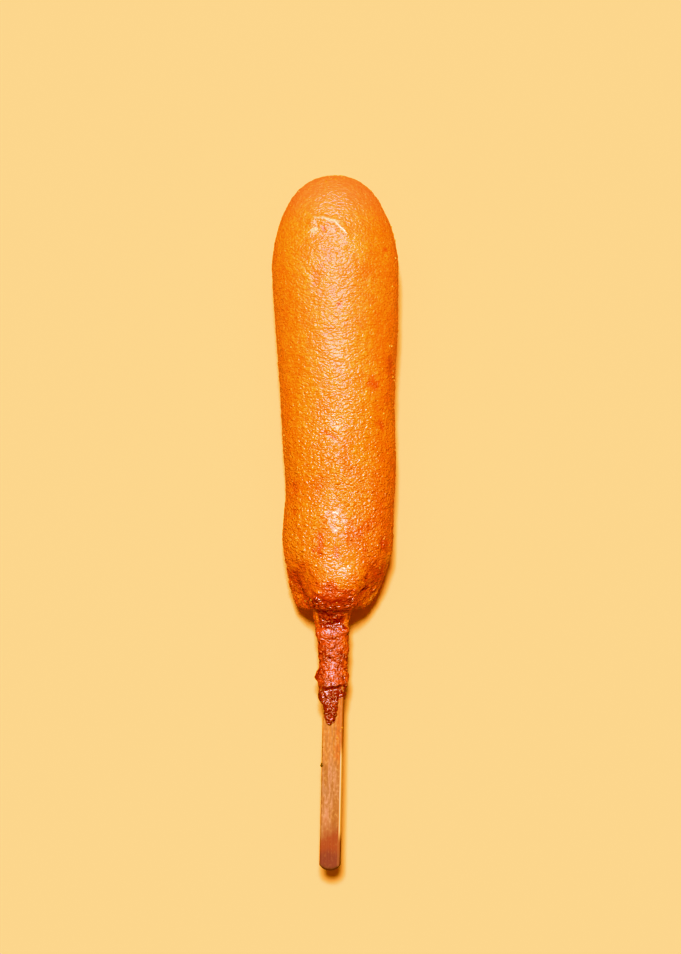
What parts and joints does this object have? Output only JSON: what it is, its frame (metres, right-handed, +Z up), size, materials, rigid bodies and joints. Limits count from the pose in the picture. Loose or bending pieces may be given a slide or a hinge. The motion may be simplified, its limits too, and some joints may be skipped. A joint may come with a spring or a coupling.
{
  "type": "corn dog",
  "caption": "Corn dog lying on its side: a round-nosed fried batter body with a thin crusty collar that runs down a flat wooden stick, a snack held by its stick.",
  "frame": {"origin": "middle of the bounding box in X and Y, on the surface it lies on", "axes": "+Y runs from the stick's end to the nose, +Z up, +X to the right of one who looks down with the nose at the top"},
  "size_m": [0.0371, 0.204, 0.0368],
  "materials": {
    "fried_batter": "oily fried cornmeal batter, finely pebbled, orange-gold and red-brown at the stick end",
    "pale_wood": "plain unvarnished wood with straight grain, browned by oil"
  },
  "bodies": {
    "root": {"fried_batter": "fried_batter", "wooden_stick": "pale_wood"}
  },
  "joints": []
}
